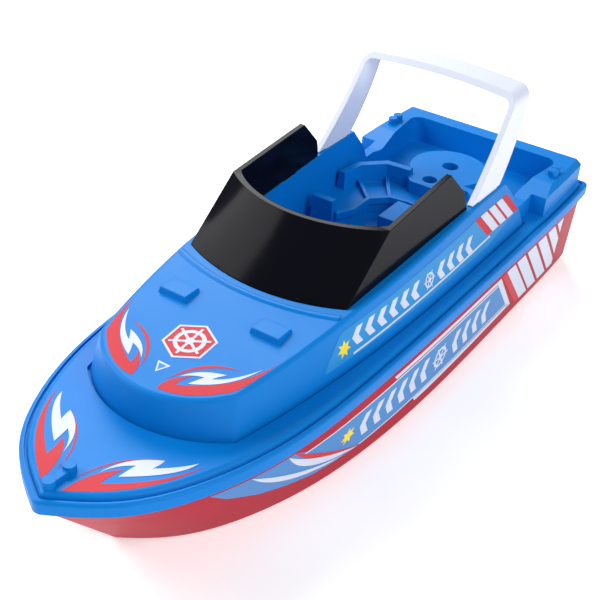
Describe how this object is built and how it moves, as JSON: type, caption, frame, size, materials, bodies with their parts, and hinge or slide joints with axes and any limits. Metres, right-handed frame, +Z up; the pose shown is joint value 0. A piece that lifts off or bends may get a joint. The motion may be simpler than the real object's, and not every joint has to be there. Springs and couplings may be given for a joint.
{
  "type": "toy boat",
  "caption": "Moulded toy speedboat with a closed bow cabin, open cockpit, wraparound windscreen, roll bar and a stern well with peg sockets.",
  "frame": {"origin": "on the centreline, halfway along the boat, on the flat bottom of the hull", "axes": "+X towards the bow, +Y to port, +Z up"},
  "size_m": [0.3, 0.0998, 0.103],
  "materials": {
    "red_plastic": "gloss",
    "blue_plastic": "satin",
    "black_plastic": "gloss",
    "white_plastic": "gloss",
    "screw_steel": "satin",
    "printed_film": "gloss"
  },
  "bodies": {
    "boat": {"hull": "red_plastic", "deck": "blue_plastic", "deck_screws": "screw_steel", "roof_badge": "printed_film", "bow_flame_port": "printed_film", "bow_flame_starboard": "printed_film", "roof_flame_port": "printed_film", "roof_flame_starboard": "printed_film", "cabin_stripe_port": "printed_film", "cabin_stripe_starboard": "printed_film", "hull_stripe_port": "printed_film", "hull_stripe_starboard": "printed_film"},
    "windscreen": {"windscreen": "black_plastic"},
    "roll_bar": {"roll_bar": "white_plastic"}
  },
  "joints": [
    {"name": "windscreen_lift", "type": "slide", "parent": "boat", "child": "windscreen", "axis": [0, 0, 1], "range_m": [0, 0.03]},
    {"name": "roll_bar_lift", "type": "slide", "parent": "boat", "child": "roll_bar", "axis": [0, 0, 1], "range_m": [0, 0.04]}
  ]
}
